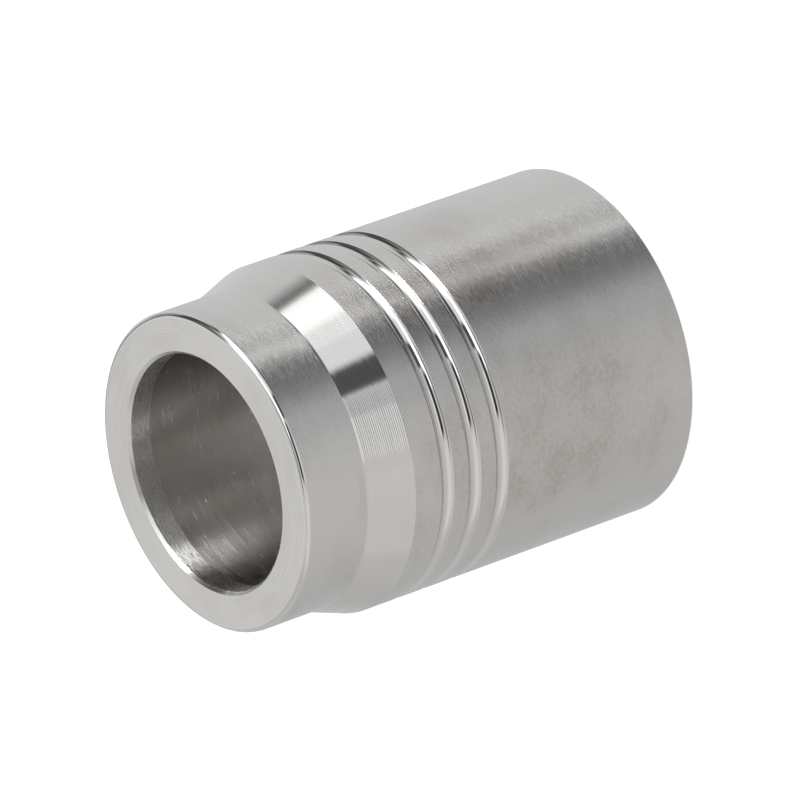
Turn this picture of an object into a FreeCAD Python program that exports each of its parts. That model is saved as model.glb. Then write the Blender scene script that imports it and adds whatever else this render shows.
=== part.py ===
"""Crimp hose ferrule: a one-piece sleeve turned from stainless steel bar.

It stands on its hose end with its axis on +Z, its origin at the centre of the hose end
and its collar at the top. Lengths are in millimetres.

From the top down: a narrower collar, a conical shoulder, and a thick-walled body with three
round-bottomed marking grooves just below the shoulder. Inside, a lip at the collar locks
behind the hose nipple. Below it the bore is wider, smooth at first and then cut with
saw-toothed grip rings that bite into the hose cover when the ferrule is crimped.
"""

import FreeCAD
import Part
import math
import os

# Driving dimensions: the sleeve
overall_length = 45.0
hose_bore_diameter = 24.8
body_wall = 4.6
shoulder_rise = 1.5
shoulder_length = 4.5
collar_length = 7.05

# Driving dimensions: the lip that locks behind the nipple
lip_height = 0.9
lip_thickness = 2.65
lip_chamfer = 0.3

# Driving dimensions: the marking grooves, counted down from the shoulder
mark_count = 3
mark_pitch = 3.24
mark_width = 1.43
mark_depth = 0.45
mark_offset = 3.81

# Driving dimensions: the grip rings, counted up from the hose end
grip_count = 4
grip_pitch = 5.4
grip_run = 1.0
grip_depth = 0.6
grip_offset = 4.0

# Driving dimensions: edges
collar_edge_radius = 0.55
collar_root_radius = 0.8
hose_end_chamfer = 0.25
mouth_chamfer_rise = 0.6
mouth_chamfer_length = 1.0

# Worked out from the driving dimensions
hose_bore_radius = hose_bore_diameter / 2
lip_radius = hose_bore_radius - lip_height
body_radius = hose_bore_radius + body_wall
collar_radius = body_radius - shoulder_rise
collar_base = overall_length - collar_length
shoulder_base = collar_base - shoulder_length
lip_underside = overall_length - lip_thickness

AXIS_POINT = FreeCAD.Vector(0, 0, 0)
AXIS = FreeCAD.Vector(0, 0, 1)
FULL_TURN = 360.0
EDGE_TOLERANCE = 1e-4


def in_section(radius, height):
    """A point of the section, which is drawn in the XZ plane."""
    return FreeCAD.Vector(radius, 0, height)


def turned(edges):
    """Revolves a closed row of section edges about the axis."""
    return Part.Face(Part.Wire(edges)).revolve(AXIS_POINT, AXIS, FULL_TURN)


def light_edge(arc):
    """The arc as a spline of the same circle: the face turned from it needs fewer facets."""
    return arc.toBSpline().toShape()


def rounding(before, corner, after, radius):
    """The arc of this radius that rounds the corner between two straight sides."""
    back = (before - corner).normalize()
    onward = (after - corner).normalize()
    half_angle = back.getAngle(onward) / 2
    along_side = radius / math.tan(half_angle)
    to_arc = radius / math.sin(half_angle) - radius
    between = (back + onward).normalize()
    return Part.Arc(corner + back * along_side, corner + between * to_arc, corner + onward * along_side)


def rims(shape, radius, height):
    """The circular edges of the shape at this radius and height."""
    found = []
    for edge in shape.Edges:
        if not isinstance(edge.Curve, Part.Circle):
            continue
        same_radius = abs(edge.Curve.Radius - radius) < EDGE_TOLERANCE
        same_height = abs(edge.Curve.Center.z - height) < EDGE_TOLERANCE
        if same_radius and same_height:
            found.append(edge)
    return found


def sleeve_blank():
    """The sleeve before its edges are broken and its grooves cut: body, shoulder, collar
    with the rounded corner at its root, lip, bore and the mouth's lead-in."""
    shoulder_foot = in_section(body_radius, shoulder_base)
    collar_foot = in_section(collar_radius, collar_base)
    collar_rim = in_section(collar_radius, overall_length)
    collar_root = rounding(shoulder_foot, collar_foot, collar_rim, collar_root_radius)
    sides = Part.makePolygon([
        collar_root.EndPoint,
        collar_rim,
        in_section(lip_radius, overall_length),
        in_section(lip_radius, lip_underside),
        in_section(hose_bore_radius, lip_underside),
        in_section(hose_bore_radius, mouth_chamfer_length),
        in_section(hose_bore_radius + mouth_chamfer_rise, 0),
        in_section(body_radius, 0),
        shoulder_foot,
        collar_root.StartPoint,
    ])
    return turned([light_edge(collar_root)] + sides.Edges)


def marking_groove(height):
    """The ring of metal that one marking groove takes out, with the round bottom that a
    round-nosed tool leaves."""
    lower = in_section(body_radius, height - mark_width / 2)
    deepest = in_section(body_radius - mark_depth, height)
    upper = in_section(body_radius, height + mark_width / 2)
    clear = in_section(body_radius + mark_depth, height)
    bottom = light_edge(Part.Arc(lower, deepest, upper))
    return turned([bottom, Part.makeLine(upper, clear), Part.makeLine(clear, lower)])


def grip_ring(height):
    """A saw-toothed ring cut: its steep flank faces the collar, so that the hose can't pull out."""
    inside_bore = hose_bore_radius - grip_depth
    sides = Part.makePolygon([
        in_section(inside_bore, height),
        in_section(hose_bore_radius + grip_depth, height),
        in_section(hose_bore_radius, height + grip_run),
        in_section(inside_bore, height + grip_run),
        in_section(inside_bore, height),
    ])
    return turned(sides.Edges)


def ferrule():
    """The finished ferrule."""
    shape = sleeve_blank()
    shape = shape.makeFillet(collar_edge_radius, rims(shape, collar_radius, overall_length))
    shape = shape.makeChamfer(hose_end_chamfer, rims(shape, body_radius, 0))
    shape = shape.makeChamfer(lip_chamfer, rims(shape, lip_radius, overall_length))
    for i in range(mark_count):
        shape = shape.cut(marking_groove(shoulder_base - mark_offset - i * mark_pitch))
    for i in range(grip_count):
        shape = shape.cut(grip_ring(grip_offset + i * grip_pitch))
    return shape


def main():
    os.makedirs("parts", exist_ok=True)
    shape = ferrule()
    print("ferrule valid", shape.isValid(), "solids", len(shape.Solids), "faces", len(shape.Faces))
    print("volume mm3", round(shape.Volume, 1), "box", shape.BoundBox)
    shape.exportStep("parts/ferrule.step")


main()
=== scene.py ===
"""Looks of the crimp hose ferrule: one turned stainless steel sleeve in a plain light studio."""

import math
from typing import NamedTuple

import bpy
import numpy as np
from mathutils import Matrix, Vector


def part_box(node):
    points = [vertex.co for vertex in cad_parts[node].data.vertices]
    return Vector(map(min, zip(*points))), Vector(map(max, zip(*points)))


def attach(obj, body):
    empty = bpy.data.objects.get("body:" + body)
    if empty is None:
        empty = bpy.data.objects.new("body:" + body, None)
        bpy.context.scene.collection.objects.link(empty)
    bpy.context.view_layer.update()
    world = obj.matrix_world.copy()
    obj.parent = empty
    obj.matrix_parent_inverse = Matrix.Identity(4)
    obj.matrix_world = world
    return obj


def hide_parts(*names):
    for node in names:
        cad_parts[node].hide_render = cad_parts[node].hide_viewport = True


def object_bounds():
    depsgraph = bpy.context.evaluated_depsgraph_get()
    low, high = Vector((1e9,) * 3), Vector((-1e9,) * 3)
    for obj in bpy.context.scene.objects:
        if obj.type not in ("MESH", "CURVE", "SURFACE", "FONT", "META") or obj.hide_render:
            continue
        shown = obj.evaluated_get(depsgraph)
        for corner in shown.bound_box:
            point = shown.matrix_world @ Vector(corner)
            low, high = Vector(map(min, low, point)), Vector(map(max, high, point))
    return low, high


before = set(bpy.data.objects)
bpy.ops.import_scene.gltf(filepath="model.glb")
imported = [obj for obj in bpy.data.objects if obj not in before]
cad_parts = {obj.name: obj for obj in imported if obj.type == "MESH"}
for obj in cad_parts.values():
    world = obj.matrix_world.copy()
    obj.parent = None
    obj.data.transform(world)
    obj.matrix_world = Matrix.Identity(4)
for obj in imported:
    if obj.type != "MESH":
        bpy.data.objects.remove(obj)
cad_low, cad_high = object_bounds()

NODE = "ferrule"
MM = 0.001
FULL_TURN = 360

# Reading the section from the CAD mesh: the decimals of a millimetre that tell two rings apart,
# the fewest vertices that make a ring, the turn up to which two sides run straight on, and the
# longest chord and the sharpest turn inside an arc
RING_DECIMALS = 2
LEAST_RING = 20
STRAIGHT = math.radians(0.5)
LONGEST_CHORD = 0.25 * MM
CHORD_TURN = math.radians(25)

# Telling the surfaces apart: how near to level or upright a side is, and how near to a place
NEARLY_LEVEL = 0.01
NEARLY_THERE = 0.01 * MM

# The lathe mesh: steps around the axis, and the turn of one step along an arc
TURNS = 270
ARC_STEP = math.radians(6)

# The rounding of sharp edges: the turn from which an edge is sharp, its radius outside and inside
# the bore, the turn of one step, and the kinds of surface that lie inside the bore
SHARP = math.radians(10)
EDGE_RADIUS = 0.04 * MM
INNER_EDGE_RADIUS = 0.16 * MM
EDGE_STEP = math.radians(30)
INSIDE = ("lip", "bored")

# Turning ridges on the shoulder: the lathe's feed, how deep the tool's nose cuts between them,
# the steps across one cut, and the fewest ridges that a surface is given
FEED = 0.2 * MM
RIDGE_DEPTH = 0.0045 * MM
RIDGE_STEPS = 6
LEAST_RIDGES = 5

# The steel: its colour where it is clean, and where handling and cutting oil have stained it.
# In the bore the darker colour is laid on more heavily, as painted shade on the deep wall
STEEL = (0.635, 0.615, 0.585)
STAINED_AND_SHADED = (0.50, 0.455, 0.42)

# The steel's noise, each as the length around the sleeve and the width across the tool's path in
# millimetres, and the levels of detail. The tool's marks have their own size in each finish, and
# the furrows are as wide as the marks and several times as long
PATCH_NOISE = (6, 4, 4)
SPECKLE_NOISE = (0.5, 0.35, 2)
SWELL_NOISE = (5, 3, 2)
MARK_DETAIL = 3
FURROW_LENGTH = 4
FURROW_DETAIL = 2

# The part of each noise that counts, from low to high, and for the first three also the range
# that it is carried to
ROUGH_RANGE = (0.3, 0.7, 0.85, 1.15)
BROKEN_RANGE = (0.35, 0.6, 0.7, 1.1)
SPECKLED_RANGE = (0.4, 0.65, 0.8, 1.3)
STAIN_AND_SHADE_PART = (0.45, 0.7)
MARK_PART = (0.38, 0.62)
SWELL_PART = (0.3, 0.7)
FURROW_PART = (0.35, 0.65)

# A quarter of a full turn: light spreads across the tool's marks and not along them
ACROSS_MARKS = 0.25

# The larger stains on the body, each as azimuth in degrees and height in millimetres, how far it
# reaches either way, and how strong it is
STAINS = (
    (-115, 16, 38, 26, 0.75),
    (-58, 19, 12, 18, 1.1),
    (-28, 18, 14, 9, 0.25),
    (70, 20, 30, 12, 0.6),
    (160, 12, 22, 14, 0.7),
)

# The camera looks down on the standing sleeve and is rolled, so that the sleeve lies in the
# picture as it does in the photograph
CAMERA_ELEVATION = math.radians(34.055)
CAMERA_ROLL = math.radians(-109.505)
CAMERA_DISTANCE = 1049.85 * MM
CAMERA_AIM_OFFSET = Vector((0.365, 0.0, -0.92)) * MM
LENS = 503.6
SENSOR = 36.0
NEAREST_SEEN = 0.05
FARTHEST_SEEN = 20

# The white table top: how far it reaches, how far it lies under the sleeve so that the two don't
# share a plane, its grey that takes the shadow, and the glow that brings it up to white
FLOOR_REACH = 6.0
FLOOR_GAP = 0.02 * MM
FLOOR_GREY = 0.25
FLOOR_GLOW = 0.87
FLOOR_ROUGHNESS = 0.9

# The light tent above the table: its plain brightness, and its panels and openings, each as
# azimuths from +X, elevations, how soft its edge is, all in degrees, and its brightness. Each
# covers those before it
TENT = 0.8
PANELS = (
    (55, 125, 26, 62, 6, 0.94),
    (-116, -73, -15, 5, 3, 1.06),
    (-88, -75.5, -15, 8, 1, 0.78),
    (-8, 10, -14, 20, 7, 0.1),
    (-55, -35, -15, 12, 2, 1.2),
    (-39, -2, -15, 45, 1.5, 1.38),
    (-23, -2, -15, 45, 6, 1.75),
    (-60, -26, -16, -5, 3, 0.72),
    (-33, -7, 14, 40, 2, 18.0),
    (-74, -38, 28, 46, 4, 2.4),
    (-86, 24, 42, 60, 4, 1.8),
    (-117, -76, 10, 40, 4, 0.04),
    (-74, -57, -16, 26, 2, 0.1),
    (11, 38, 7, 50, 4, 0.1),
    (36, 58, 2, 17, 4, 0.4),
    (34, 56, 18, 50, 3, 0.1),
    (50, 80, 18, 28, 3, 0.25),
    (72, 100, 5, 18, 4, 0.3),
    (11, 31, 7, 27, 4, 0.08),
    (104, 172, 18, 50, 8, 0.68),
    (112, 178, -15, 12, 10, 0.7),
    (-178, -124, 6, 50, 5, 0.95),
    (14, 34, 30, 47, 3, 0.3),
    (-150, -35, 60, 76, 4, 0.25),
)

# The table below the sleeve, as azimuths and the brightness that the steel sees there, and the
# elevation up to which it reaches, with how soft that edge is
TABLE = (
    (-180, 0.67), (-160, 0.71), (-136, 0.735), (-125, 0.73), (-112, 0.71), (-96, 0.66),
    (-88, 0.6), (-72, 0.55), (-64, 0.45), (-56, 0.27), (-50, 0.14), (-44, 0.10), (-36, 0.085),
    (-31, 0.22), (-27, 0.72), (-22, 0.66), (-16, 0.23), (-9, 0.36), (-2, 0.59), (8, 0.75),
    (24, 0.82), (48, 0.81), (64, 0.785), (80, 0.70), (96, 0.6), (104, 0.61), (144, 0.60),
    (160, 0.645), (180, 0.67),
)
TABLE_EDGE = -14
TABLE_SOFTNESS = 4

# The shade right under the sleeve: its brightness, the elevation that it reaches up to, and how
# soft its edge is
SHADE = 0.25
SHADE_EDGE = -58
SHADE_SOFTNESS = 5

# The tint of the light around the sleeve, as azimuths and colours
PLAIN = (0.99, 1.0, 1.015)
COOL = (0.98, 1.0, 1.027)
COLD = (0.96, 1.0, 1.045)
TINT = (
    (-180, PLAIN), (-125, PLAIN), (-104, COOL), (-80, COLD), (-40, COLD), (-24, COOL), (40, COOL),
    (60, COLD), (76, COLD), (88, PLAIN), (100, PLAIN), (127, COOL), (165, PLAIN), (180, PLAIN),
)


# The section of the sleeve

def section(node):
    """The closed section of a turned CAD node: (radius, height) points in metres, in order from the
    collar face's outer edge down the outside, across the hose end and up the bore."""
    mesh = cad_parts[node].data
    rings = {}
    ring_of = []
    for vertex in mesh.vertices:
        radius = math.hypot(vertex.co.x, vertex.co.y)
        height = vertex.co.z
        key = (round(radius / MM, RING_DECIMALS), round(height / MM, RING_DECIMALS))
        ring_of.append(rings.setdefault(key, (radius, height)))
    whole = {ring for ring in rings.values() if ring_of.count(ring) >= LEAST_RING}
    links = {ring: {} for ring in whole}
    for edge in mesh.edges:
        one, other = (ring_of[i] for i in edge.vertices)
        if one != other and one in whole and other in whole:
            links[one][other] = links[one].get(other, 0) + 1
            links[other][one] = links[other].get(one, 0) + 1
    nearest = {ring: sorted(found, key=found.get)[-2:] for ring, found in links.items()}
    start = max(nearest, key=lambda ring: (ring[1], ring[0]))
    chain = [start]
    onward = max(nearest[start], key=lambda ring: ring[0])
    while onward != start:
        chain.append(onward)
        onward = next((ring for ring in nearest[onward] if ring not in chain[-2:]), start)
    return [Vector(ring) for ring in chain]


def turn_between(way, other):
    """The signed angle from one direction of the section to another."""
    return math.atan2(way.x * other.y - way.y * other.x, way.dot(other))


def without_straight_points(chain):
    """The section without the points that lie on a straight run."""
    count = len(chain)
    return [
        chain[i] for i in range(count)
        if abs(turn_between(chain[i] - chain[i - 1], chain[(i + 1) % count] - chain[i])) > STRAIGHT
    ]


def circle_centre(a, b, c):
    """The centre of the circle through three points of the section."""
    ab = b - a
    ac = c - a
    cross = 2 * (ab.x * ac.y - ab.y * ac.x)
    along = (ac.y * ab.length_squared - ab.y * ac.length_squared) / cross
    across = (ab.x * ac.length_squared - ac.x * ab.length_squared) / cross
    return a + Vector((along, across))


class Piece:
    """A straight or round piece of the section. Places on it run from 0 to 1, and the part from
    first to last is kept when its ends are cut back."""

    def __init__(self, points):
        self.start = points[0]
        self.end = points[-1]
        self.first = 0.0
        self.last = 1.0
        self.round = len(points) > 2
        self.length = (self.end - self.start).length
        if self.round:
            middle = points[len(points) // 2]
            self.centre = circle_centre(self.start, middle, self.end)
            arm = self.start - self.centre
            self.sweep = turn_between(arm, middle - self.centre)
            self.sweep += turn_between(middle - self.centre, self.end - self.centre)
            self.radius = arm.length
            self.angle = math.atan2(arm.y, arm.x)
            self.length = self.radius * abs(self.sweep)

    def place(self, t):
        """The point of the section at this place."""
        if not self.round:
            return self.start.lerp(self.end, t)
        angle = self.angle + self.sweep * t
        return self.centre + Vector((math.cos(angle), math.sin(angle))) * self.radius

    def way(self, t):
        """The direction in which the section runs at this place."""
        if not self.round:
            return (self.end - self.start).normalized()
        angle = self.angle + self.sweep * t
        return Vector((-math.sin(angle), math.cos(angle))) * math.copysign(1, self.sweep)


def pieces_of(chain):
    """The pieces of the section: its straight sides, and each row of short chords as one arc."""
    count = len(chain)
    pieces = []
    row = []
    for i in range(count):
        here = chain[(i + 1) % count] - chain[i]
        beyond = chain[(i + 2) % count] - chain[(i + 1) % count]
        row = row or [chain[i]]
        row.append(chain[(i + 1) % count])
        both_short = max(here.length, beyond.length) < LONGEST_CHORD
        if not both_short or abs(turn_between(here, beyond)) > CHORD_TURN:
            pieces.append(Piece(row))
            row = []
    return pieces


def surface_of(piece, low, high, narrowest):
    """The kind of surface that a piece of the section belongs to. The section runs down the
    outside and up the bore, and is narrowest at the lip."""
    way = piece.way(0.5)
    middle = piece.place(0.5)
    level = abs(way.y) < NEARLY_LEVEL
    if level and min(abs(middle.y - low), abs(middle.y - high)) < NEARLY_THERE:
        return "faced"
    if middle.x < narrowest + NEARLY_THERE:
        return "lip"
    if level or way.y > 0:
        return "bored"
    if piece.round:
        return "polished"
    if abs(way.x) > NEARLY_LEVEL:
        return "turned"
    return "drawn"


class Strip(NamedTuple):
    """A strip that is revolved in one row of faces, with the section's direction at both ends."""

    start: Vector
    end: Vector
    start_way: Vector
    end_way: Vector
    surface: str


def strips_between(places, ways, surface):
    """The strips from each place to the next."""
    return [
        Strip(places[i], places[i + 1], ways[i], ways[i + 1], surface)
        for i in range(len(places) - 1)
    ]


def plain_strips(piece, surface):
    """A straight piece as one strip, or a round one as a row of them."""
    kept = piece.last - piece.first
    steps = max(1, math.ceil(abs(piece.sweep) * kept / ARC_STEP)) if piece.round else 1
    stops = [piece.first + kept * k / steps for k in range(steps + 1)]
    return strips_between([piece.place(t) for t in stops], [piece.way(t) for t in stops], surface)


def ridged_strips(piece, surface):
    """The shoulder as a row of shallow concave cuts that meet in sharp ridges."""
    start = piece.place(piece.first)
    end = piece.place(piece.last)
    way = (end - start).normalized()
    inward = Vector((way.y, -way.x))
    count = round((end - start).length / FEED)
    step = (end - start) / count
    strips = []
    for k in range(count):
        base = start + step * k
        stops = [i / RIDGE_STEPS for i in range(RIDGE_STEPS + 1)]
        places = [base + step * t + inward * (4 * RIDGE_DEPTH * t * (1 - t)) for t in stops]
        ways = [
            (way + inward * (4 * RIDGE_DEPTH * (1 - 2 * t) / step.length)).normalized()
            for t in stops
        ]
        strips.extend(strips_between(places, ways, surface))
    return strips


def edge_between(surface, beside_surface):
    """How far the edge between two surfaces is rounded, and the kind of surface it has."""
    inside = surface in INSIDE and beside_surface in INSIDE
    return (INNER_EDGE_RADIUS, "bored") if inside else (EDGE_RADIUS, "polished")


def rounded_edge(piece, beside, turn, radius, surface):
    """The small rounding between two pieces that were cut back from a sharp edge, as one cubic
    curve."""
    start = piece.place(piece.last)
    end = beside.place(beside.first)
    start_way = piece.way(piece.last)
    end_way = beside.way(beside.first)
    reach = radius * 4 / 3 * math.tan(turn / 4)
    a = start + start_way * reach
    b = end - end_way * reach
    steps = max(2, round(turn / EDGE_STEP))
    places = []
    ways = []
    for k in range(steps + 1):
        t = k / steps
        s = 1 - t
        places.append(start * s ** 3 + a * 3 * s * s * t + b * 3 * s * t * t + end * t ** 3)
        ways.append(((a - start) * s * s + (b - a) * 2 * s * t + (end - b) * t * t).normalized())
    return strips_between(places, ways, surface)


def fine_section(pieces, low, high):
    """The strips of the whole section, with every sharp edge broken and the shoulder ridged."""
    narrowest = min(piece.start.x for piece in pieces)
    surfaces = [surface_of(piece, low, high, narrowest) for piece in pieces]
    turns = []
    edges = []
    for i, piece in enumerate(pieces):
        onward = (i + 1) % len(pieces)
        beside = pieces[onward]
        turn = abs(turn_between(piece.way(1), beside.way(0)))
        radius, surface = edge_between(surfaces[i], surfaces[onward])
        turns.append(turn)
        edges.append((radius, surface))
        if turn > SHARP:
            back = radius * math.tan(turn / 2)
            piece.last -= back / piece.length
            beside.first += back / beside.length
    strips = []
    for i, piece in enumerate(pieces):
        if surfaces[i] == "turned" and piece.length > LEAST_RIDGES * FEED:
            strips.extend(ridged_strips(piece, surfaces[i]))
        else:
            strips.extend(plain_strips(piece, surfaces[i]))
        if turns[i] > SHARP:
            strips.extend(rounded_edge(piece, pieces[(i + 1) % len(pieces)], turns[i], *edges[i]))
    return strips


def lathe(name, strips, materials):
    """Revolves the strips about Z into one closed mesh, with exact normals and a material for
    each kind of surface."""
    count = len(strips)
    angles = np.arange(TURNS) * (2 * math.pi / TURNS)
    cosines = np.cos(angles)
    sines = np.sin(angles)
    ring = np.array([(s.start.x, s.start.y) for s in strips])
    places = np.stack([
        ring[:, :1] * cosines,
        ring[:, :1] * sines,
        np.repeat(ring[:, 1:], TURNS, axis=1),
    ], axis=-1).reshape(-1, 3)
    upper = np.arange(count)[:, None] * TURNS
    lower = (np.arange(count)[:, None] + 1) % count * TURNS
    here = np.arange(TURNS)
    beside = (here + 1) % TURNS
    faces = np.stack([upper + here, lower + here, lower + beside, upper + beside], axis=-1)
    mesh = bpy.data.meshes.new(name)
    mesh.from_pydata(places.tolist(), [], faces.reshape(-1, 4).tolist())

    def around(ways, columns):
        """Outward normals: the section's way turned by a right angle and carried around."""
        radial = np.array([-way.y for way in ways])[:, None]
        axial = np.array([way.x for way in ways])[:, None]
        return np.stack([
            radial * cosines[columns],
            radial * sines[columns],
            np.repeat(axial, TURNS, axis=1),
        ], axis=-1)

    starts = [s.start_way for s in strips]
    ends = [s.end_way for s in strips]
    normals = np.stack([
        around(starts, here),
        around(ends, here),
        around(ends, beside),
        around(starts, beside),
    ], axis=2).reshape(-1, 3)
    mesh.shade_smooth()
    mesh.normals_split_custom_set(normals.tolist())
    names = list(materials)
    for material in materials.values():
        mesh.materials.append(material)
    indices = np.repeat([names.index(s.surface) for s in strips], TURNS)
    mesh.polygons.foreach_set("material_index", indices.astype(np.int32))
    mesh.update()
    made = bpy.data.objects.new(name, mesh)
    bpy.context.scene.collection.objects.link(made)
    return made


# Shader nodes

def node_tree(material):
    """An empty node tree with a Principled shader on its output."""
    material.use_nodes = True
    tree = material.node_tree
    tree.nodes.clear()
    output = tree.nodes.new("ShaderNodeOutputMaterial")
    shader = tree.nodes.new("ShaderNodeBsdfPrincipled")
    tree.links.new(shader.outputs["BSDF"], output.inputs["Surface"])
    return tree, shader


def feed(tree, socket, value):
    """Links an output to a socket, or sets a plain value on it."""
    if isinstance(value, bpy.types.NodeSocket):
        tree.links.new(value, socket)
    else:
        socket.default_value = value


def math_node(tree, operation, *values):
    """A Math node on sockets or plain numbers, and its output."""
    node = tree.nodes.new("ShaderNodeMath")
    node.operation = operation
    for socket, value in zip(node.inputs, values):
        feed(tree, socket, value)
    return node.outputs[0]


def vector_node(tree, operation, *values):
    """A Vector Math node on sockets or plain vectors, and its vector output."""
    node = tree.nodes.new("ShaderNodeVectorMath")
    node.operation = operation
    for socket, value in zip(node.inputs, values):
        feed(tree, socket, value)
    return node.outputs["Vector"]


def scaled(tree, vector, factor):
    """A vector times a number."""
    node = tree.nodes.new("ShaderNodeVectorMath")
    node.operation = "SCALE"
    feed(tree, node.inputs["Vector"], vector)
    feed(tree, node.inputs["Scale"], factor)
    return node.outputs["Vector"]


def ranged(tree, value, from_low, from_high, to_low, to_high, smooth=False):
    """A value carried from one range to another and held inside it."""
    node = tree.nodes.new("ShaderNodeMapRange")
    node.interpolation_type = "SMOOTHSTEP" if smooth else "LINEAR"
    feed(tree, node.inputs["Value"], value)
    feed(tree, node.inputs["From Min"], from_low)
    feed(tree, node.inputs["From Max"], from_high)
    feed(tree, node.inputs["To Min"], to_low)
    feed(tree, node.inputs["To Max"], to_high)
    return node.outputs["Result"]


def mixed_colour(tree, factor, one, other):
    """A colour between two colours."""
    node = tree.nodes.new("ShaderNodeMix")
    node.data_type = "RGBA"
    feed(tree, node.inputs["Factor"], factor)
    feed(tree, node.inputs["A"], one)
    feed(tree, node.inputs["B"], other)
    return node.outputs["Result"]


def mixed_value(tree, factor, one, other):
    """A number between two numbers."""
    node = tree.nodes.new("ShaderNodeMix")
    feed(tree, node.inputs["Factor"], factor)
    feed(tree, node.inputs["A"], one)
    feed(tree, node.inputs["B"], other)
    return node.outputs["Result"]


def sleeve_place(tree):
    """A place on the sleeve: its x, y and z, and its distance from the axis."""
    place = tree.nodes.new("ShaderNodeTexCoord").outputs["Object"]
    split = tree.nodes.new("ShaderNodeSeparateXYZ")
    tree.links.new(place, split.inputs[0])
    x, y, z = split.outputs
    radius = math_node(tree, "SQRT", math_node(
        tree, "ADD", math_node(tree, "MULTIPLY", x, x), math_node(tree, "MULTIPLY", y, y)))
    return x, y, z, radius


def turned_place(tree, around, across):
    """A place on the sleeve for a texture whose marks are this long around the axis and this
    wide across the tool's path, in millimetres."""
    x, y, z, radius = sleeve_place(tree)
    path = math_node(tree, "ADD", radius, z)
    joined = tree.nodes.new("ShaderNodeCombineXYZ")
    feed(tree, joined.inputs["X"], math_node(tree, "MULTIPLY", x, 1 / (around * MM)))
    feed(tree, joined.inputs["Y"], math_node(tree, "MULTIPLY", y, 1 / (around * MM)))
    feed(tree, joined.inputs["Z"], math_node(tree, "MULTIPLY", path, 1 / (across * MM)))
    return joined.outputs["Vector"]


def noise(tree, around, across, detail):
    """Noise between about 0.25 and 0.75 in marks of a given size, in millimetres."""
    node = tree.nodes.new("ShaderNodeTexNoise")
    node.inputs["Scale"].default_value = 1
    node.inputs["Detail"].default_value = detail
    feed(tree, node.inputs["Vector"], turned_place(tree, around, across))
    return node.outputs[0]


def spots(tree, stains):
    """How strongly each place of the sleeve is stained by the larger stains."""
    x, y, z, radius = sleeve_place(tree)
    total = 0.0
    for azimuth, height, reach_around, reach_along, strength in stains:
        toward = math_node(
            tree, "ADD",
            math_node(tree, "MULTIPLY", x, math.cos(math.radians(azimuth))),
            math_node(tree, "MULTIPLY", y, math.sin(math.radians(azimuth))))
        facing = math_node(tree, "DIVIDE", toward, radius)
        around = ranged(tree, facing, math.cos(math.radians(reach_around)), 1, 0, strength, smooth=True)
        off = math_node(tree, "ABSOLUTE", math_node(tree, "SUBTRACT", z, height * MM))
        along = ranged(tree, off, reach_along * MM, 0, 0, 1, smooth=True)
        total = math_node(tree, "ADD", total, math_node(tree, "MULTIPLY", around, along))
    return total


# Materials

class Finish(NamedTuple):
    """How one kind of surface was made: the roughness and how much further it spreads light across
    the tool's marks than along them, the marks' size in millimetres and how far they tilt the
    surface along and across their path, a slow waviness, how far the surface is stained all
    over, which in the bore is partly painted shade on the deep wall, and whether the larger
    stains lie on it."""

    roughness: float
    anisotropy: float
    mark: tuple
    tilt_along: float
    tilt_across: float
    wave: float
    stain_and_shade: float
    large_stains: bool


def steel(name, finish):
    """Bare stainless steel with one finish, stained in patches; in the bore the patches are partly
    painted shade.
    """
    material = bpy.data.materials.new(name)
    tree, shader = node_tree(material)
    shader.inputs["Metallic"].default_value = 1
    shader.inputs["Anisotropic"].default_value = finish.anisotropy
    shader.inputs["Anisotropic Rotation"].default_value = ACROSS_MARKS
    tangent = tree.nodes.new("ShaderNodeTangent")
    tangent.direction_type = "RADIAL"
    tangent.axis = "Z"
    around = tangent.outputs["Tangent"]
    tree.links.new(around, shader.inputs["Tangent"])

    marks = noise(tree, *finish.mark, MARK_DETAIL)
    rough = ranged(tree, marks, *ROUGH_RANGE)
    shader.inputs["Roughness"].default_value = finish.roughness
    feed(tree, shader.inputs["Roughness"], math_node(tree, "MULTIPLY", rough, finish.roughness))

    # Patches of the darker colour: oil stains, and in the bore also painted shade on the deep wall
    patches = noise(tree, *PATCH_NOISE)
    stained_and_shaded = ranged(tree, patches, *STAIN_AND_SHADE_PART, 0, finish.stain_and_shade, smooth=True)
    if finish.large_stains:
        broken = ranged(tree, patches, *BROKEN_RANGE)
        large = math_node(tree, "MULTIPLY", spots(tree, STAINS), broken)
        stained_and_shaded = math_node(tree, "ADD", stained_and_shaded, large)
    speckled = ranged(tree, noise(tree, *SPECKLE_NOISE), *SPECKLED_RANGE)
    stained_and_shaded = math_node(tree, "MULTIPLY", stained_and_shaded, speckled)
    colour = mixed_colour(tree, stained_and_shaded, (*STEEL, 1), (*STAINED_AND_SHADED, 1))
    feed(tree, shader.inputs["Base Color"], colour)

    normal = tree.nodes.new("ShaderNodeNewGeometry").outputs["Normal"]
    across = vector_node(tree, "CROSS_PRODUCT", normal, around)
    swell = noise(tree, *SWELL_NOISE)
    along_tilt = math_node(
        tree, "ADD",
        ranged(tree, marks, *MARK_PART, -finish.tilt_along, finish.tilt_along),
        ranged(tree, swell, *SWELL_PART, -finish.wave, finish.wave))
    length, width = finish.mark
    furrows = noise(tree, length * FURROW_LENGTH, width, FURROW_DETAIL)
    across_tilt = ranged(tree, furrows, *FURROW_PART, -finish.tilt_across, finish.tilt_across)
    tilted = vector_node(tree, "ADD", normal, scaled(tree, around, along_tilt))
    tilted = vector_node(tree, "ADD", tilted, scaled(tree, across, across_tilt))
    tree.links.new(vector_node(tree, "NORMALIZE", tilted), shader.inputs["Normal"])
    return material


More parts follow.
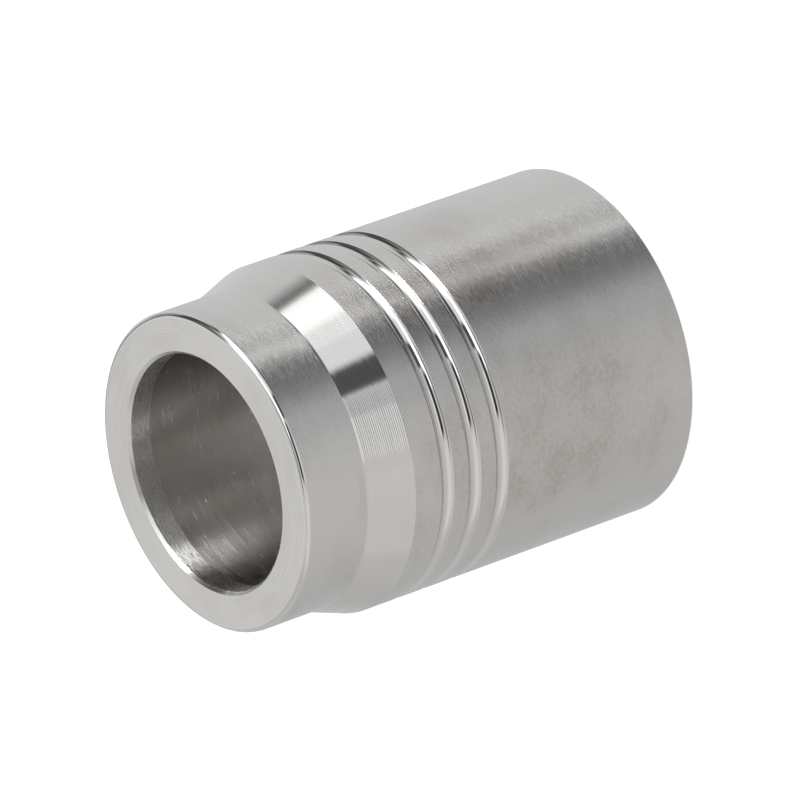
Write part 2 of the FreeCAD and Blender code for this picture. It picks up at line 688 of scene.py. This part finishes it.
FINISHES = {
    "drawn": Finish(
        roughness=0.255, anisotropy=0.87, mark=(0.8, 0.09),
        tilt_along=0.013, tilt_across=0.03, wave=0.004, stain_and_shade=0.25, large_stains=True),
    "turned": Finish(
        roughness=0.12, anisotropy=0.5, mark=(20, 0.2),
        tilt_along=0.002, tilt_across=0.008, wave=0.0, stain_and_shade=0.1, large_stains=False),
    "polished": Finish(
        roughness=0.05, anisotropy=0.0, mark=(8, 0.1),
        tilt_along=0.001, tilt_across=0.004, wave=0.0, stain_and_shade=0.0, large_stains=False),
    "faced": Finish(
        roughness=0.3, anisotropy=0.5, mark=(4, 0.2),
        tilt_along=0.006, tilt_across=0.002, wave=0.008, stain_and_shade=0.2, large_stains=False),
    "lip": Finish(
        roughness=0.285, anisotropy=1.0, mark=(0.8, 0.1),
        tilt_along=0.004, tilt_across=0.004, wave=0.002, stain_and_shade=0.15, large_stains=False),
    # The bore's heavier stain is partly oil and partly painted shade that darkens the deep wall under
    # the lip
    "bored": Finish(
        roughness=0.24, anisotropy=0.98, mark=(3, 0.25),
        tilt_along=0.003, tilt_across=0.0, wave=0.002, stain_and_shade=0.5, large_stains=False),
}
materials = {surface: steel(f"{surface}_steel", finish) for surface, finish in FINISHES.items()}


# The sleeve

node_low, node_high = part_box(NODE)
pieces = pieces_of(without_straight_points(section(NODE)))
strips = fine_section(pieces, node_low.z, node_high.z)
sleeve = lathe("ferrule_sleeve", strips, materials)
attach(sleeve, "root")
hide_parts(NODE)
print("pieces", len(pieces), "strips", len(strips), "triangles", len(sleeve.data.polygons) * 2)


# The studio

def clear_from_below(tree, shader):
    """Makes a material see-through where its faces are seen from behind."""
    output = shader.outputs["BSDF"].links[0].to_socket
    clear = tree.nodes.new("ShaderNodeBsdfTransparent")
    sides = tree.nodes.new("ShaderNodeMixShader")
    behind = tree.nodes.new("ShaderNodeNewGeometry").outputs["Backfacing"]
    for socket, source in zip(sides.inputs, (behind, shader.outputs["BSDF"], clear.outputs["BSDF"])):
        tree.links.new(source, socket)
    tree.links.new(sides.outputs["Shader"], output)


def make_floor():
    """A white table top that keeps the sleeve's soft shadow. It is clear from below, where it
    would hide the hose end."""
    ways = ((-1, -1), (1, -1), (1, 1), (-1, 1))
    corners = [(x * FLOOR_REACH, y * FLOOR_REACH, -FLOOR_GAP) for x, y in ways]
    mesh = bpy.data.meshes.new("floor")
    mesh.from_pydata(corners, [], [(0, 1, 2, 3)])
    made = bpy.data.objects.new("floor", mesh)
    bpy.context.scene.collection.objects.link(made)
    material = bpy.data.materials.new("floor")
    tree, shader = node_tree(material)
    shader.inputs["Base Color"].default_value = (FLOOR_GREY, FLOOR_GREY, FLOOR_GREY, 1)
    shader.inputs["Roughness"].default_value = FLOOR_ROUGHNESS
    shader.inputs["Specular IOR Level"].default_value = 0
    shader.inputs["Emission Color"].default_value = (1, 1, 1, 1)
    shader.inputs["Emission Strength"].default_value = FLOOR_GLOW
    clear_from_below(tree, shader)
    mesh.materials.append(material)
    made.visible_glossy = False
    made.visible_shadow = False


def above(tree, value, edge, soft):
    """1 above an edge, 0 below it, with a soft change between them."""
    return ranged(tree, value, edge - soft, edge + soft, 0, 1, smooth=True)


def below(tree, value, edge, soft):
    """1 below an edge, 0 above it, with a soft change between them."""
    return ranged(tree, value, edge + soft, edge - soft, 0, 1, smooth=True)


def window(tree, value, low, high, soft):
    """1 between low and high, 0 outside, with soft edges."""
    return math_node(tree, "MULTIPLY", above(tree, value, low, soft), below(tree, value, high, soft))


def around_profile(tree, azimuth, stops):
    """A colour that changes with the azimuth, through stops of azimuth and colour."""
    node = tree.nodes.new("ShaderNodeValToRGB")
    feed(tree, node.inputs["Fac"], math_node(tree, "MULTIPLY_ADD", azimuth, 1 / FULL_TURN, 0.5))
    ramp = node.color_ramp
    ramp.elements.remove(ramp.elements[1])
    for i, (stop, colour) in enumerate(stops):
        position = stop / FULL_TURN + 0.5
        element = ramp.elements[0] if i == 0 else ramp.elements.new(position)
        element.position = position
        element.color = (*colour, 1)
    return node.outputs["Color"]


def make_world():
    """A pale light tent around the sleeve, with its panels and its darker openings."""
    world = bpy.data.worlds.new("studio")
    bpy.context.scene.world = world
    world.use_nodes = True
    tree = world.node_tree
    tree.nodes.clear()
    output = tree.nodes.new("ShaderNodeOutputWorld")
    background = tree.nodes.new("ShaderNodeBackground")
    tree.links.new(background.outputs["Background"], output.inputs["Surface"])
    coordinates = tree.nodes.new("ShaderNodeTexCoord")
    way = tree.nodes.new("ShaderNodeSeparateXYZ")
    tree.links.new(coordinates.outputs["Generated"], way.inputs[0])
    azimuth = math_node(tree, "DEGREES", math_node(tree, "ARCTAN2", way.outputs["Y"], way.outputs["X"]))
    elevation = math_node(tree, "DEGREES", math_node(tree, "ARCSINE", way.outputs["Z"]))
    value = TENT
    for low_azimuth, high_azimuth, low_elevation, high_elevation, soft, radiance in PANELS:
        inside = math_node(
            tree, "MULTIPLY",
            window(tree, azimuth, low_azimuth, high_azimuth, soft),
            window(tree, elevation, low_elevation, high_elevation, soft),
        )
        value = mixed_value(tree, inside, value, radiance)
    table = around_profile(tree, azimuth, [(stop, (level, level, level)) for stop, level in TABLE])
    value = mixed_value(tree, above(tree, elevation, TABLE_EDGE, TABLE_SOFTNESS), table, value)
    value = mixed_value(tree, below(tree, elevation, SHADE_EDGE, SHADE_SOFTNESS), value, SHADE)
    tint = around_profile(tree, azimuth, TINT)
    path = tree.nodes.new("ShaderNodeLightPath").outputs["Is Camera Ray"]
    feed(tree, background.inputs["Color"], mixed_colour(tree, path, tint, (1, 1, 1, 1)))
    feed(tree, background.inputs["Strength"], mixed_value(tree, path, value, 1))


def make_camera():
    """The camera, at the photograph's distance and viewing angle."""
    data = bpy.data.cameras.new("camera")
    data.lens = LENS
    data.sensor_width = SENSOR
    data.clip_start = NEAREST_SEEN
    data.clip_end = FARTHEST_SEEN
    made = bpy.data.objects.new("camera", data)
    bpy.context.scene.collection.objects.link(made)
    backward = Vector((0, -math.cos(CAMERA_ELEVATION), math.sin(CAMERA_ELEVATION)))
    aim = (cad_low + cad_high) / 2 + CAMERA_AIM_OFFSET
    upright = Matrix.Rotation(math.pi / 2 - CAMERA_ELEVATION, 4, "X")
    rolled = upright @ Matrix.Rotation(CAMERA_ROLL, 4, "Z")
    made.matrix_world = Matrix.Translation(aim + backward * CAMERA_DISTANCE) @ rolled
    bpy.context.scene.camera = made


make_floor()
make_world()
make_camera()
bpy.context.scene.view_settings.view_transform = "Standard"
